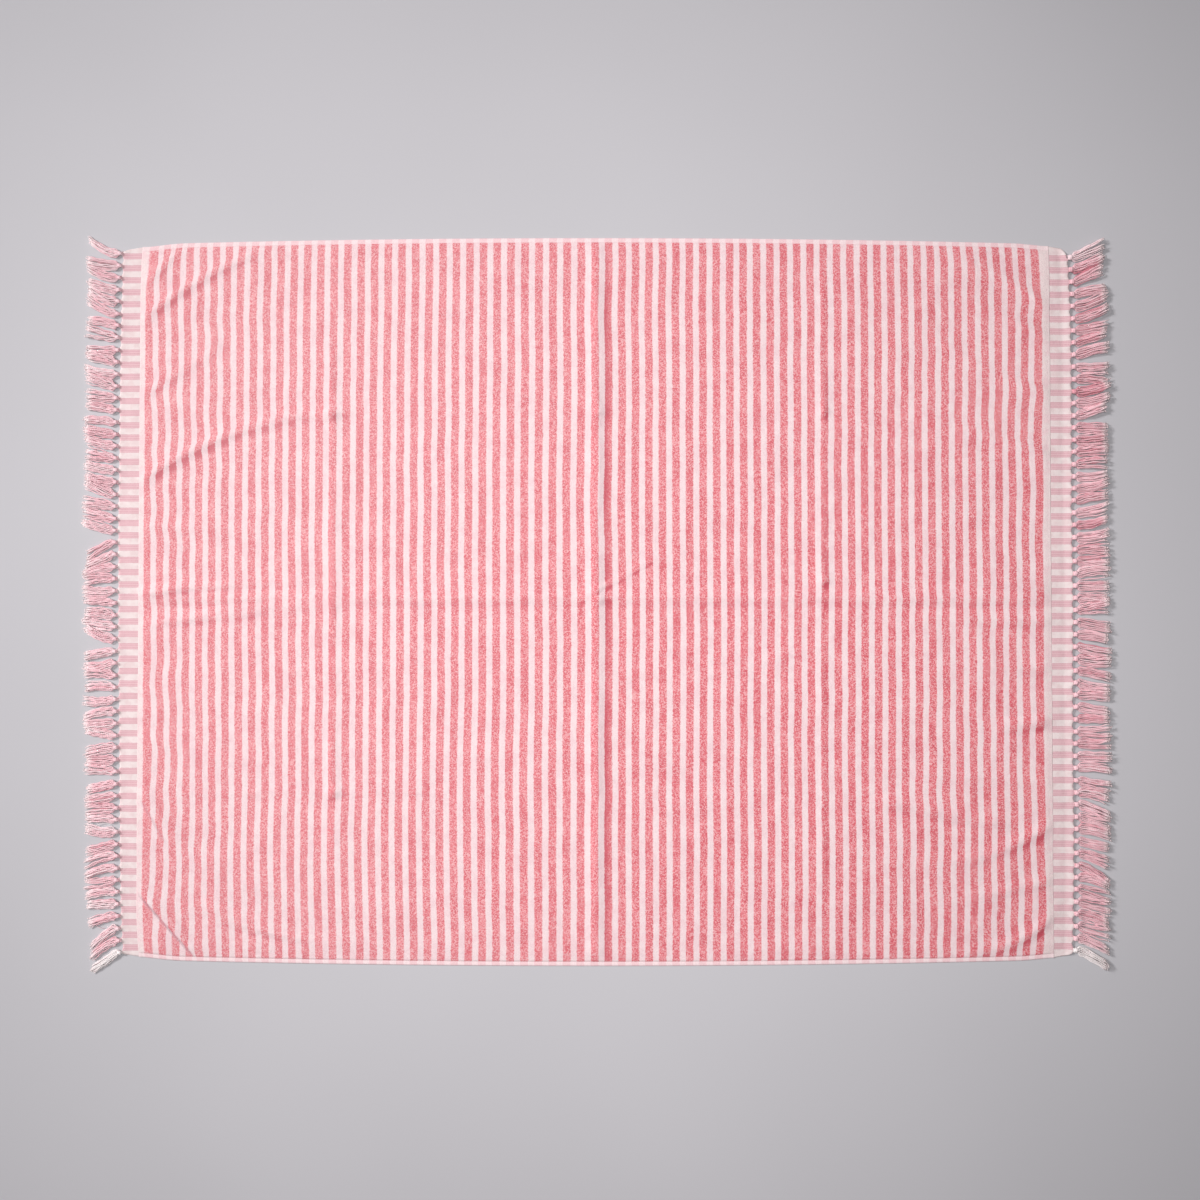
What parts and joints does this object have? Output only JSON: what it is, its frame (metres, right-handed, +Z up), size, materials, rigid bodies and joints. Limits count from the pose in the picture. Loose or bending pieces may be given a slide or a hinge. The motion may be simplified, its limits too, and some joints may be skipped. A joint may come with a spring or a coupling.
{
  "type": "beach blanket",
  "caption": "Striped terry beach blanket lying flat, with flat-woven ends, hemmed sides and a knotted tassel fringe on each short end, to sit or lie on.",
  "frame": {"origin": "centre of the overall bounding box on the surface that the blanket lies on", "axes": "+X along the blanket's length towards the fringe with the longer tassels, +Y across its width, +Z up out of the terry face"},
  "size_m": [2.1622, 1.5368, 0.017],
  "materials": {
    "terry_cloth": "matt cotton terry in coral and white stripes, flat-woven in pale pink and ivory at the ends",
    "fringe_cotton": "matt plied cotton yarn, pale pink"
  },
  "bodies": {
    "root": {"cloth": "terry_cloth", "fringe_left": "fringe_cotton", "fringe_right": "fringe_cotton"}
  },
  "joints": []
}
